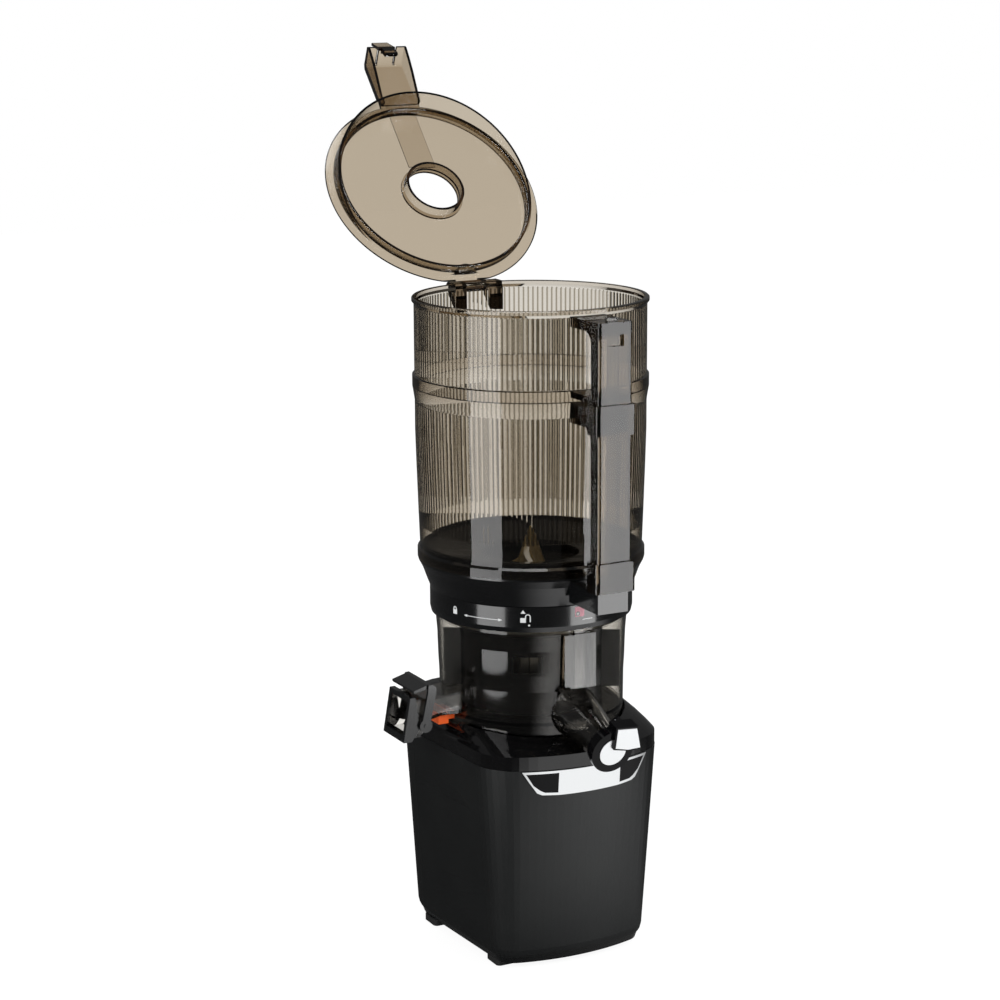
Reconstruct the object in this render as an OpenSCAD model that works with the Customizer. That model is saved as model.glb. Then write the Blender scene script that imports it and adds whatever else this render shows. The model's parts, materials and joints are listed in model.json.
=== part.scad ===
// Cold press juicer: motor base, juice bowl, auger and two-tier hopper with a hinged lid.
// Origin on the hopper axis at the floor, +Z up, front towards -Y, pulp outlet towards -X.

/* [Base] */
// Height of the lower edge of the shell above the floor
shell_z0 = 12; // [8:1:20]
// Height where the matte shell meets the gloss deck
shell_z1 = 195; // [150:1:240]
// Height of the top of the straight gloss band
band_z1 = 208; // [200:1:225]
// Height of the crown of the deck behind the bowl
crown_z = 230; // [214:1:240]
// Front reach of the shell at its lower edge
front_lo = 97.3; // [80:0.1:120]
// Front reach of the shell at the gloss band
front_hi = 114; // [95:0.1:140]
// Radius of the front face at its lower edge
front_r_lo = 211; // [160:1:260]
// Radius of the front face at the gloss band
front_r_hi = 162; // [130:1:220]
// Half width across the front corners, lower edge
half_lo = 77.5; // [60:0.5:100]
// Half width across the front corners, gloss band
half_hi = 90.5; // [75:0.5:115]
// Half width across the back corners, lower edge
back_half_lo = 84.6; // [70:0.1:110]
// Half width across the back corners, gloss band
back_half_hi = 98.3; // [80:0.1:120]
// Distance from the hopper axis to the back face
back_y = 107; // [95:1:130]
// Wall thickness of the shell
shell_t = 3; // [2:0.1:5]
// Depth of the side recess behind the front shell edge
recess_d = 4; // [1:0.1:6]
// Distance of the feet from the hopper axis, side to side
foot_x = 60; // [40:1:75]
// Distance of the feet from the hopper axis, front to back
foot_y = 57; // [40:1:80]
// Side of a square foot
foot_w = 24; // [14:1:34]
// Height of a foot below the base plate
foot_h = 6; // [3:0.5:10]

/* [Bowl] */
// How much wider the bowl is at its mouth than at its foot
bowl_flare = 3.2; // [1:0.1:6]
// Outer radius of the bowl at its foot
bowl_r0 = 85.2; // [65:0.1:105]
// Height of the underside of the bowl
bowl_z0 = 212; // [205:1:230]
// Height of the rim of the bowl
bowl_z1 = 318; // [280:1:340]
// Wall thickness of the bowl and the hopper drums
wall_t = 2.6; // [1.8:0.1:4]
// Height of the bowl floor
bowl_floor = 229; // [220:1:240]
// Outer radius of the juice spout at its mouth
spout_r = 15.5; // [10:0.5:22]
// Downward slope of the juice spout
spout_tilt = 15; // [0:1:30]
// Distance of the spout mouth in front of the axis
spout_y = 149; // [110:1:160]
// Radius of the juice cap ring
cap_r = 20.5; // [14:0.5:28]
// Radius of the bright disc on the cap
disc_r = 13; // [8:0.5:18]
// Half width of the pulp duct
duct_hw = 20; // [14:0.5:28]
// Distance of the pulp mouth from the axis
duct_x = 134; // [110:1:150]

/* [Hopper] */
// How far the locking collar stands out past the bowl
collar_lip = 5.1; // [3:0.1:9]
// Height of the underside of the collar
collar_z0 = 320.7; // [300:0.1:340]
// Height of the top of the collar
collar_z1 = 340; // [325:0.1:360]
// How far the hopper base stands out past the lower drum
base_lip = 1.8; // [0.5:0.1:5]
// Height of the joint between hopper base and lower drum
hbase_z1 = 367; // [355:0.5:380]
// Radius of the lower drum at its bottom
ldrum_r0 = 102; // [90:0.1:115]
// How much wider the lower drum is at its top than at its foot
drum_flare = 3.4; // [1:0.1:6]
// Height of the joint between the two drums
tier_z = 525.7; // [480:0.1:560]
// How far the rims stand out past the upper drum
rim_lip = 2; // [1:0.1:5]
// Height of the rim of the upper drum
rim_z = 606; // [560:1:640]
// Number of flutes round each drum
flute_n = 72; // [24:1:120]
// Radius of one flute
flute_r = 1.5; // [0.8:0.1:3]
// Half width of the front grip column
col_hw = 17; // [12:0.5:24]
// Distance of the column face in front of the axis
col_y = 155; // [140:1:170]
// Depth of the column
col_d = 13; // [9:0.5:20]

/* [Lid] */
// Opening angle of the lid in the modelled pose
lid_open = 133; // [0:1:138]
// How far the lid hinge lies behind the rim
hinge_out = 9; // [7.5:0.1:14]
// Height of the hinge pin
hinge_z = 601; // [590:0.5:612]
// Radius of the feed hole in the lid
feed_r = 26.6; // [15:0.1:40]
// Depth of the skirt of the lid at the front, where it is deepest
skirt_h = 30; // [8:0.5:40]
// Slant of the lower edge of the skirt, so that it swings clear of the drum
skirt_slant = 11; // [0:0.5:20]

/* [Drive] */
// Distance of the gear shaft behind the drive axis
mid_y = 57.75; // [50:0.25:70]
// Distance between motor shaft and gear shaft
stage_1 = 36; // [30:0.5:45]
// Outer radius of the auger screw
auger_r = 46; // [36:0.5:56]
// Inner radius of the strainer
sieve_r = 48.5; // [40:0.5:60]
// Number of turns of each screw flight
flight_turns = 0.9; // [0.4:0.1:2]

/* [Hidden] */
$fn = 96;

eps = 0.02;
over = 1;
fit = 0.05;
gap = 0.3;
loose = 0.5;
wide = 400;
bowl_r1 = bowl_r0 + bowl_flare;
collar_r = bowl_r1 + collar_lip;
ldrum_r1 = ldrum_r0 + drum_flare;
hbase_r1 = ldrum_r0 + base_lip;
udrum_r = ldrum_r1 + 0.1;
rim_r = udrum_r + rim_lip;
hinge_y = rim_r + hinge_out;
grip_root = 5.4;
flare_shares = [0.125, 0.375, 0.59375];
drum_shares = [0.352941176470588, 0.764705882352941];
motor_y = mid_y - stage_1;

// Outline of the base at share s of its height: tangent arcs at front, corners and back.
// g moves the whole outline inwards, k moves only the front inwards.
function mix(a, b, s) = a + (b - a) * s;
function arc(c, r, a0, a1, n) =
  [for (i = [0 : n]) c + r * [cos(mix(a0, a1, i / n)), sin(mix(a0, a1, i / n))]];
function half_outline(s, g, k, d, yc) =
  let (rf = mix(23.6 * unit, 42 * unit, s), fr = mix(front_r_lo, front_r_hi, s))
  let (xc = mix(half_lo, half_hi, s) - rf, ap = mix(front_lo, front_hi, s) - k)
  let (cy = fr - ap, cf = [xc, cy - sqrt(pow(fr - rf, 2) - xc * xc)])
  let (rb = mix(45 * unit, 50 * unit, s), cb = [mix(back_half_lo, back_half_hi, s) - rb, back_y - rb])
  let (t = atan2(xc, fr - rf + 0 * xc), tf = asin(xc / (fr - rf)))
  let (dv = cb - cf, dl = norm(dv), th = atan2(dv[1], dv[0]) - acos((rf - rb) / dl))
  let (n = [cos(th), sin(th)], p1 = cf + (rf - g) * n, p2 = cb + (rb - g) * n)
  let (f = (yc - p1[1]) / (p2[1] - p1[1]), pc = p1 + max(0.02, min(0.9, f)) * (p2 - p1))
  concat(
    arc([0, cy], fr - g, -90, -90 + tf, 8),
    [for (i = [1 : 7]) cf + (rf - g) * [cos(mix(-90 + tf, th, i / 7)), sin(mix(-90 + tf, th, i / 7))]],
    [pc, pc - d * n, mix(pc, p2, 0.5) - 0.5 * d * n],
    arc(cb, rb - g, th, 90, 8));
function outline(s, g = 0, k = 0, d = 0, yc = 0) =
  let (h = half_outline(s, g, k, d, yc), m = len(h))
  concat(h, [for (i = [m - 1 : -1 : 1]) [-h[i][0], h[i][1]]]);
unit = back_y / 107;

// Solid between a stack of outlines that all have the same number of points.
module loft(rings, heights) {
  m = len(rings[0]);
  q = len(rings);
  pts = [for (j = [0 : q - 1]) for (p = rings[j]) [p[0], p[1], heights[j]]];
  side = [for (j = [0 : q - 2]) for (i = [0 : m - 1])
    for (f = [[j * m + i, (j + 1) * m + i, (j + 1) * m + (i + 1) % m],
              [j * m + i, (j + 1) * m + (i + 1) % m, j * m + (i + 1) % m]]) f];
  cap0 = [[for (i = [0 : m - 1]) i]];
  cap1 = [[for (i = [m - 1 : -1 : 0]) (q - 1) * m + i]];
  polyhedron(points = pts, faces = concat(cap0, side, cap1), convexity = 6);
}

// Height shares of the shell, and the curved edge of the side recess.
function shell_share(z) = (z - 13 * unit) / (181 * unit);
function crest_y(z) = let (u = min(1, max(0, (z - 40 * unit) / (122 * unit))))
  -84.5 * unit * sqrt(max(0, 1 - pow(u, 2.8)));
function fade(z) = max(0, min(1, (z - 25 * unit) / (45 * unit))) *
  max(0, min(1, (162 * unit - z) / (16 * unit)));
shell_zs = [shell_z0, shell_z0 + 3, shell_z0 + 8, 36, 52, 70, 90, 108, 124, 136, 146, 153, 158, 162, shell_z1];
tuck = [2.6, 0.9, 0, 0, 0, 0, 0, 0, 0, 0, 0, 0, 0, 0, 0];
lean = atan((front_hi - front_lo) / (shell_z1 - shell_z0));
badge_z0 = shell_z1 - 24;
badge_z1 = shell_z1 - 0.4;
badge_half = 64;
inlay_x = 31.5;
plate_t = 2.4;
bottom_z0 = foot_h;
cover_t = 2.6;
gland_z = 34;
gland_x = 30;
gland_r = 6.5;
switch_y = 40;
switch_z = 105;
switch_w = 21;
switch_h = 30;
side_x = 83.6;
boss_r = 4.2;
screw_r = 1.7;
screw_head_r = 3.4;

module badge_shape(g) {
  polygon([for (p = [[badge_half, badge_z1], [badge_half - 7, badge_z1 - 11], [badge_half - 13.5, badge_z1 - 20.5],
    [badge_half - 18, badge_z1 - 22.6], [badge_half - 34, badge_z0], [34 - badge_half, badge_z0],
    [18 - badge_half, badge_z1 - 22.6], [13.5 - badge_half, badge_z1 - 20.5], [7 - badge_half, badge_z1 - 11],
    [-badge_half, badge_z1]]) [p[0] * (1 - g / 40), p[1] + (p[1] < badge_z0 + 12 ? g : -g)]]);
}
module front_slab(g) {
  translate([0, 0, 0]) rotate([90, 0, 0]) linear_extrude(height = wide / 2) badge_shape(g);
}
// Leaning cylinder that follows the front face round the badge, pushed out by p.
module front_drum(p) {
  z = badge_z0 + 12;
  s = shell_share(z);
  r = mix(front_r_lo, front_r_hi, s);
  y = r - mix(front_lo, front_hi, s);
  translate([0, y, z]) rotate([lean, 0, 0]) translate([0, 0, -40]) cylinder(r = r + p, h = 80, $fn = 240);
}

module base_housing() {
  color([0.16, 0.17, 0.17]) difference() {
    loft([for (i = [0 : len(shell_zs) - 1]) outline(shell_share(shell_zs[i]), tuck[i], 0,
      recess_d * fade(shell_zs[i]), crest_y(shell_zs[i]))], shell_zs);
    loft([for (z = [shell_z0 - over, shell_z1 + over]) outline(shell_share(z), shell_t + recess_d)],
      [shell_z0 - over, shell_z1 + over]);
    // Pocket for the badge
    intersection() {
      front_slab(-0.15);
      difference() {
        translate([0, -wide / 4, badge_z0]) cube([wide, wide / 2, 60], center = true);
        front_drum(-1.2);
      }
    }
    // Openings for the cord gland and the rocker switch
    translate([gland_x, back_y - 20, gland_z]) rotate([-90, 0, 0]) cylinder(r = gland_r - 1, h = 40);
    translate([side_x - 20, switch_y - switch_w / 2, switch_z - switch_h / 2]) cube([40, switch_w, switch_h]);
    translate([sw_flush, switch_y - switch_w / 2 - 2.1, switch_z - switch_h / 2 - 2.1])
      cube([20, switch_w + 4.2, switch_h + 4.2]);
  }
}

module top_deck() {
  ins = [[0, 0], [0, 0], [0.6, 12], [1.8, 30], [3.6, 52], [6.6, 78], [12, 100]];
  rise = [0.18, 0.41, 0.64, 0.86, 1];
  zs = concat([shell_z1, band_z1], [for (q = rise) mix(band_z1, crown_z, q)]);
  color([0.05, 0.05, 0.055]) difference() {
    loft([for (i = [0 : 6]) outline(min(1, shell_share(zs[i])), ins[i][0] + gap, ins[i][1])], zs);
    loft([for (z = [shell_z1 - over, deck_in_z]) outline(1, 8)], [shell_z1 - over, deck_in_z]);
    // Seat for the bowl with its sloping wall
    difference() {
      translate([0, 0, bowl_z0]) cylinder(r1 = bowl_r0 + 1.2, r2 = bowl_r0 + 3.4, h = 22);
      translate([0, 0, bowl_z0 - over]) cylinder(r = boss_top_r, h = boss_h + over);
    }
    translate([0, 0, shell_z1 - over]) cylinder(r = shaft_r + 4, h = 60);
    // Room for the juice spout, the pulp duct and its stopper
    spout_cone(gap);
    translate([-duct_x, -duct_hw - loose, duct_z0 - stop_drop]) cube([duct_x - 60, 2 * (duct_hw + loose), 40]);
  }
}
stop_drop = 13.5;
stop_out = 17.8;

module badge_plate() {
  color([0.85, 0.86, 0.88]) difference() {
    intersection() {
      front_slab(0);
      difference() {
        front_drum(0.7);
        front_drum(-1.15);
      }
    }
    inlay_cut(0, 0.1);
  }
}
module inlay_cut(g, p) {
  intersection() {
    front_slab(2.2 + g);
    difference() {
      translate([0, 0, 0]) rotate([90, 0, 0]) linear_extrude(height = wide / 2)
        for (m = [0, 1]) mirror([m, 0])
          translate([inlay_x + g, badge_z0 - 5]) square([40, 40]);
      front_drum(p - 0.5);
    }
  }
}
module badge_end_inlays() {
  color([0.04, 0.04, 0.05]) intersection() {
    inlay_cut(fit, 0.1);
    front_drum(0.45);
  }
}

module vent_slots(n, w, l, p) {
  for (i = [0 : n - 1]) translate([(i - (n - 1) / 2) * p, 0, 0])
    linear_extrude(height = 20, center = true) {
      square([w, l - w], center = true);
      for (s = [-1, 1]) translate([0, s * (l - w) / 2]) circle(r = w / 2, $fn = 24);
    }
}
module bottom_cover() {
  color([0.12, 0.12, 0.125]) difference() {
    loft([outline(0, 5.2), outline(0, 3.1)], [bottom_z0, shell_z0]);
    translate([0, motor_y, bottom_z0]) vent_slots(9, 3, 46, 7);
    for (x = [-foot_x, foot_x], y = [-foot_y, foot_y]) translate([x, y, 0])
      cylinder(r = screw_r + fit, h = 30, $fn = 24);
  }
}
module foot(x, y, cx, w) {
  color([0.09, 0.09, 0.09]) difference() {
    translate([0, 0, 0]) linear_extrude(height = foot_h) translate([cx, y]) {
      square([w, foot_w - 2 * foot_round], center = true);
      square([w - 2 * foot_round, foot_w], center = true);
      for (i = [-1, 1], j = [-1, 1])
        translate([i * (w / 2 - foot_round), j * (foot_w / 2 - foot_round)]) circle(r = foot_round, $fn = 32);
    }
    translate([x, y, -over]) cylinder(r = screw_head_r + 0.4, h = over + recess_h, $fn = 32);
    translate([x, y, -over]) cylinder(r = screw_head_r + 2 * fit, h = over + screw_seat, $fn = 32);
    translate([x, y, -over]) cylinder(r = screw_r + fit, h = 30, $fn = 24);
  }
}
foot_round = 4;
recess_h = 3.1;
head_z = 3.4;
screw_seat = 5.2;
rear_cx = 65.5;
rear_w = 30;
module foot_front_left() { foot(-foot_x, -foot_y, -foot_x, foot_w); }
module foot_front_right() { foot(foot_x, -foot_y, foot_x, foot_w); }
module foot_rear_left() { foot(-foot_x, foot_y, -rear_cx, rear_w); }
module foot_rear_right() { foot(foot_x, foot_y, rear_cx, rear_w); }
module foot_screws() {
  color([0.7, 0.7, 0.72]) for (x = [-foot_x, foot_x], y = [-foot_y, foot_y]) translate([x, y, 0])
    difference() {
      union() {
        translate([0, 0, head_z]) cylinder(r = screw_head_r, h = screw_seat - head_z, $fn = 32);
        translate([0, 0, head_z]) cylinder(r = screw_r, h = shell_z0 - head_z - loose, $fn = 24);
      }
      translate([0, 0, head_z - eps]) for (a = [0, 90]) rotate([0, 0, a])
        translate([-2, -0.4, 0]) cube([4, 0.8, 1]);
    }
}

module cord_gland() {
  color([0.08, 0.08, 0.08]) translate([gland_x, back_y, gland_z]) rotate([90, 0, 0]) difference() {
    union() {
      cylinder(r = gland_r - 1 - fit, h = 10, $fn = 48);
      translate([0, 0, -3]) cylinder(r = gland_r + 2, h = 3 - fit, $fn = 48);
      translate([0, 0, 7.2]) cylinder(r = gland_r + 1, h = 2.8, $fn = 48);
    }
    translate([0, 0, -5]) cylinder(r = 3.4, h = 20, $fn = 32);
  }
}
sw_in = 80;
sw_flush = 89;
module switch_bezel() {
  color([0.06, 0.06, 0.06]) translate([sw_in, switch_y, switch_z]) difference() {
    union() {
      translate([0, -switch_w / 2 + fit, -switch_h / 2 + fit])
        cube([sw_flush - sw_in, switch_w - 2 * fit, switch_h - 2 * fit]);
      translate([sw_flush - sw_in, -switch_w / 2 - 2, -switch_h / 2 - 2]) cube([3, switch_w + 4, switch_h + 4]);
    }
    translate([1.5, -switch_w / 2 + 2.5, -switch_h / 2 + 1]) cube([20, switch_w - 5, switch_h - 2]);
  }
}
module rocker_switch() {
  hh = switch_h / 2 - 2.2;
  color([0.02, 0.02, 0.02]) translate([rock_x, switch_y, switch_z]) difference() {
    rotate([90, 0, 0]) linear_extrude(height = switch_w - 6, center = true)
      polygon([[-3, -hh + 3], [-3, hh - 3], [4.5, hh], [3.6, 0], [4.5, -hh]]);
    translate([4.2, 0, hh - 3]) cube([1, 4, 0.8], center = true);
  }
  color([0.02, 0.02, 0.02]) translate([rock_x, switch_y, switch_z]) rotate([90, 0, 0])
    cylinder(r = 1.5, h = switch_w - 5 - 2 * fit, center = true, $fn = 24);
}
rock_x = 87;

// Spur gear outline with n teeth of module m, tooth 0 on +X.
function tooth(m, n, i) = let (r = m * n / 2, ra = r + m * 0.95, rf = r - m * 1.2, a = 360 / n)
  [for (p = [[rf, -0.31], [r, -0.235], [ra, -0.11], [ra, 0.11], [r, 0.235], [rf, 0.31]])
    p[0] * [cos(a * (i + p[1])), sin(a * (i + p[1]))]];
module gear(m, n, h, turn = 0) {
  rotate([0, 0, turn]) linear_extrude(height = h) polygon([for (i = [0 : n - 1]) each tooth(m, n, i)]);
}
n_mot = 10;
n_mid = 62;
n_pin = 11;
n_out = 55;
mod_1 = 2 * stage_1 / (n_mot + n_mid);
mod_2 = 2 * mid_y / (n_pin + n_out);
case_z0 = 132;
case_z1 = 182;
gear_1_z = 142;
gear_1_h = 9;
gear_2_z = 158;
gear_2_h = 15;
mot_r = 50;
core_z0 = 56;
core_z1 = 116;
rotor_r = 27;
mshaft_r = 4;
shaft_r = 7;
hex_r = 8;
hex_z1 = 244;
deck_in_z = 204;
boss_top_r = 26;
boss_h = 5;

module motor_stator() {
  color([0.55, 0.56, 0.58]) translate([0, motor_y, core_z0]) difference() {
    cylinder(r = mot_r - 2, h = core_z1 - core_z0);
    translate([0, 0, -over]) cylinder(r = rotor_r + loose, h = 90);
  }
}
module motor_windings() {
  color([0.72, 0.4, 0.2]) for (z = [core_z0 - 9, core_z1]) translate([0, motor_y, z]) difference() {
    cylinder(r = mot_r - 8, h = 9);
    translate([0, 0, -over]) cylinder(r = rotor_r + 2, h = 20);
  }
}
module motor_frame() {
  color([0.75, 0.76, 0.78]) translate([0, motor_y, 0]) difference() {
    union() {
      translate([0, 0, core_z1 + 10]) cylinder(r = mot_r, h = case_z0 - core_z1 - 10);
      translate([0, 0, core_z0 - 16]) cylinder(r = mot_r, h = 5);
      for (a = [45 : 90 : 315]) rotate([0, 0, a]) translate([mot_r + 1.5, 0, core_z0 - 16])
        cylinder(r = 3.5, h = case_z0 - core_z0 + 16, $fn = 32);
    }
    cylinder(r = mshaft_r + fit, h = wide);
    for (a = [0 : 60 : 300]) rotate([0, 0, a]) translate([mot_r - 20, 0, 0]) cylinder(r = 6, h = core_z0, $fn = 32);
  }
}
module motor_rotor() {
  color([0.6, 0.6, 0.63]) translate([0, motor_y, 0]) {
    translate([0, 0, core_z0 + 1]) cylinder(r = rotor_r, h = core_z1 - core_z0 - 2);
    translate([0, 0, 20]) cylinder(r = mshaft_r, h = gear_1_z - 19, $fn = 48);
    translate([0, 0, gear_1_z - 1]) gear(mod_1, n_mot, gear_1_h + 2, 90);
  }
}
module cooling_fan() {
  color([0.15, 0.15, 0.16]) translate([0, motor_y, 22]) difference() {
    union() {
      cylinder(r = 11, h = 12);
      cylinder(r = 40, h = 1.6);
      for (a = [0 : 30 : 330]) rotate([0, 0, a]) translate([10, -0.8, 0]) cube([29, 1.6, 12]);
    }
    translate([0, 0, -over]) cylinder(r = mshaft_r, h = 20, $fn = 48);
  }
}
module case_plan(g) {
  circle(r = mod_2 * n_out / 2 + 6 - g);
  translate([0, mid_y]) circle(r = mod_1 * n_mid / 2 + 5.5 - g);
}
module gearbox_case() {
  color([0.7, 0.71, 0.72]) difference() {
    translate([0, 0, case_z0]) linear_extrude(height = case_z1 - case_z0) case_plan(0);
    translate([0, 0, case_z0 + 5]) linear_extrude(height = 80) case_plan(3);
    translate([0, motor_y, 0]) cylinder(r = mshaft_r + 1, h = wide, $fn = 48);
    translate([0, mid_y, case_z0 + 2]) cylinder(r = mshaft_r + fit, h = 20, $fn = 48);
    translate([0, 0, case_z0 + 2]) cylinder(r = shaft_r + fit, h = 20, $fn = 48);
  }
}
module gearbox_cover() {
  color([0.7, 0.71, 0.72]) difference() {
    union() {
      translate([0, 0, case_z1]) linear_extrude(height = 4) case_plan(0);
      translate([0, 0, case_z1]) cylinder(r = shaft_r + 6, h = 12);
      for (p = [[38, 24], [-38, 24], [34, -30], [-34, -30]]) translate([p[0], p[1], case_z1])
        cylinder(r = 4.5, h = deck_in_z - case_z1, $fn = 32);
    }
    translate([0, mid_y, case_z1 - over]) cylinder(r = mshaft_r + fit, h = 3, $fn = 48);
    translate([0, 0, case_z1 - over]) cylinder(r = shaft_r + fit, h = 40, $fn = 48);
  }
}
module reduction_gear() {
  color([0.86, 0.84, 0.78]) translate([0, mid_y, 0]) {
    translate([0, 0, gear_1_z]) gear(mod_1, n_mid, gear_1_h, -90 + 180 / n_mid);
    translate([0, 0, gear_2_z - 5]) gear(mod_2, n_pin, gear_2_h + 8, -90);
    translate([0, 0, gear_1_z]) cylinder(r = 10, h = gear_2_z - gear_1_z - 4, $fn = 48);
    translate([0, 0, case_z0 + 2 + fit]) cylinder(r = mshaft_r, h = case_z1 - case_z0 - gap, $fn = 48);
  }
}
module output_gear() {
  color([0.86, 0.84, 0.78]) difference() {
    union() {
      translate([0, 0, gear_2_z]) gear(mod_2, n_out, gear_2_h, 90 + 180 / n_out);
      translate([0, 0, gear_2_z - 5]) cylinder(r = 16, h = gear_2_h + 11);
    }
    for (s = [0, 1]) translate([0, 0, gear_2_z + s * (gear_2_h - 4) - (1 - s) * over]) difference() {
      cylinder(r = mod_2 * n_out / 2 - 8, h = 4 + over);
      translate([0, 0, -over]) cylinder(r = 20, h = 9);
    }
    translate([0, 0, gear_2_z - 20]) cylinder(r = shaft_r, h = 60, $fn = 48);
  }
}
module drive_coupling() {
  color([0.72, 0.73, 0.75]) {
    translate([0, 0, case_z0 + 2 + fit]) cylinder(r = shaft_r, h = bowl_z0 + 10 - case_z0 - 2, $fn = 48);
    translate([0, 0, bowl_z0 + 9]) cylinder(r = hex_r, h = hex_z1 - bowl_z0 - 9, $fn = 6);
  }
}
module control_board() {
  color([0.1, 0.35, 0.2]) translate([-45, -74, shell_z0]) cube([90, 1.6, 62]);
  color([0.12, 0.12, 0.12]) {
    translate([-36, -72.4 - eps, 20]) cube([22, 16, 16]);
    translate([-6, -72.4 - eps, 22]) cube([18, 12, 28]);
    translate([20, -72.4 - eps, 20]) cube([16, 10, 20]);
  }
}
module run_capacitor() {
  color([0.82, 0.83, 0.85]) translate([57, -24, shell_z0]) {
    cylinder(r = 11, h = 46, $fn = 64);
    for (s = [-1, 1]) translate([s * 4, -1.5, 45]) cube([0.8, 3, 7]);
  }
}
module interlock_sensor() {
  color([0.1, 0.1, 0.1]) translate([-10, -86, deck_in_z - 8]) cube([20, 12, 8]);
}

post_y = bowl_r1 - 0.4;
duct_z0 = 233;
duct_z1 = 251;
pivot_x = 121;
pivot_z = 225;
throat_r = 42;
brush_n = 2;
spout_z = 237;
mouth_x = 138;

// Frame at the mouth of the juice spout, local +Z pointing out along the spout.
module at_mouth(d = 0) {
  translate([0, -84, spout_z]) rotate([90 + spout_tilt, 0, 0]) translate([0, 0, spout_y - 84 + d]) children();
}
// Tapered root of the juice spout, g outwards.
module spout_cone(g) {
  root = spout_y - 74;
  at_mouth(-root) cylinder(r1 = spout_r + 9 + g, r2 = spout_r + g, h = root - 4 + eps);
}
// Pulp duct outline in the X-Z plane, g inwards.
module duct_side(g) {
  polygon([[-60, duct_z0 - 3 + g], [-104, duct_z0 - 2 + g], [-117, duct_z0 - 5 + g], [-124 + g / 2, 214 + g],
    [-mouth_x - 1, 213 + g], [-duct_x - g * 0, duct_z1 - 1.5 - g], [-112, duct_z1 - 2 - g], [-60, duct_z1 + 1.5 - g]]);
}
module duct_solid(g, w) {
  translate([0, w, 0]) rotate([90, 0, 0]) linear_extrude(height = 2 * w) duct_side(g);
}
module bowl_outer(g) {
  rotate_extrude($fn = 180) polygon([[0, bowl_z0], [bowl_r0 - g, bowl_z0], [bowl_r0 + bowl_flare * flare_shares[0] - g, 258],
    [bowl_r0 + bowl_flare * flare_shares[1] - g, 273],
    [bowl_r0 + bowl_flare * flare_shares[2] - g, 296], [bowl_r1 - g, 312], [bowl_r1 - g, bowl_z1], [0, bowl_z1]]);
}
module juice_bowl() {
  color([0.55, 0.5, 0.44, 0.55]) difference() {
    union() {
      bowl_outer(0);
      duct_solid(0, duct_hw);
      // Spout with its root flange
      intersection() {
        spout_cone(0);
        translate([-60, -160, 205]) cube([120, 110, 90]);
      }
      at_mouth(-12) cylinder(r = spout_r, h = 12);
      // Post for the interlock rod
      translate([-16, -post_y - 6, 262]) cube([32, 14, 50]);
      // Hinge block of the cap
      at_mouth(-15) rotate([0, 0, 45]) translate([spout_r - 4, -5, 0]) cube([12.5, 10, 8.5]);
    }
    difference() {
      bowl_outer(wall_t);
      translate([0, 0, bowl_z0 - over]) cylinder(r = wide / 4, h = bowl_floor - bowl_z0 + over);
    }
    // Underside recess and shaft tunnel
    difference() {
      translate([0, 0, bowl_z0 - over]) cylinder(r = bowl_r0 - wall_t, h = bowl_floor - 3 - bowl_z0 + over);
      translate([0, 0, bowl_z0 + boss_h]) cylinder(r = boss_top_r + 4, h = 30);
    }
    translate([0, 0, bowl_z0 - over]) cylinder(r = boss_top_r + gap, h = boss_h + over + gap);
    translate([0, 0, bowl_z0 - over]) cylinder(r = hex_r + 1.5, h = 60);
    difference() {
      duct_solid(wall_t, duct_hw - wall_t);
      translate([0, 0, 200]) cylinder(r = 60, h = 80);
    }
    translate([-160, -duct_hw + wall_t, 214 + wall_t]) cube([26, 2 * (duct_hw - wall_t), 31]);
    difference() {
      spout_cone(-wall_t);
      cylinder(r = bowl_r0 + 0.4, h = bowl_floor);
    }
    at_mouth(-14) cylinder(r = spout_r - wall_t, h = 20);
    // Channel of the interlock rod
    translate([-5.3, -post_y - 4.3, 262 - over]) cube([10.6, 3.6, 80]);
    at_mouth(-15 + 4.5) rotate([0, 0, 45]) translate([cap_pin_x, 0, 0]) rotate([90, 0, 0])
      cylinder(r = 1.2 + fit, h = 30, center = true, $fn = 24);
    for (s = [-1, 1]) translate([-pivot_x, s * duct_hw, pivot_z]) rotate([90, 0, 0])
      cylinder(r = 1.7, h = 2 * wall_t + 1, center = true, $fn = 24);
  }
}
cap_pin_x = 21;
module bowl_seal() {
  color([0.35, 0.35, 0.36]) translate([0, 0, bowl_floor]) difference() {
    cylinder(r = 15, h = 5);
    translate([0, 0, -over]) cylinder(r = 12.4, h = 20);
  }
}
module strainer() {
  color([0.75, 0.74, 0.7]) difference() {
    rotate_extrude($fn = 144) polygon([[sieve_r, bowl_floor + 6], [sieve_r + 2, bowl_floor + 6], [sieve_r + 2, 308],
      [bowl_r1 - wall_t - 1.5, 312], [bowl_r1 - wall_t - 1.5, 315], [sieve_r - 5, 315], [sieve_r - 5, 311], [sieve_r, 307]]);
    for (i = [0 : 35]) rotate([0, 0, 10 * i]) translate([sieve_r - 3, -0.6, bowl_floor + 13])
      cube([8, 1.2, 56]);
  }
}
module wiper_holder() {
  color([0.2, 0.2, 0.2]) difference() {
    union() {
      for (z = [bowl_floor + 2, 296]) translate([0, 0, z]) difference() {
        cylinder(r = holder_r, h = 7);
        translate([0, 0, -over]) cylinder(r = holder_r - 6, h = 20);
      }
      translate([0, 0, bowl_floor + 3]) difference() {
        cylinder(r = holder_r - 0.5, h = 70);
        translate([0, 0, -over]) cylinder(r = holder_r - 3, h = 80);
      }
    }
    for (a = [blade_a, blade_a + 180]) rotate([0, 0, a]) {
      translate([50, -1.5, bowl_floor + 12]) cube([30, 3, 54]);
      rotate([0, 0, 90]) translate([50, -window_w / 2, 270]) cube([30, window_w, 15.6]);
    }
  }
}
holder_r = 66;
window_w = 25;
blade_a = 149;
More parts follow.
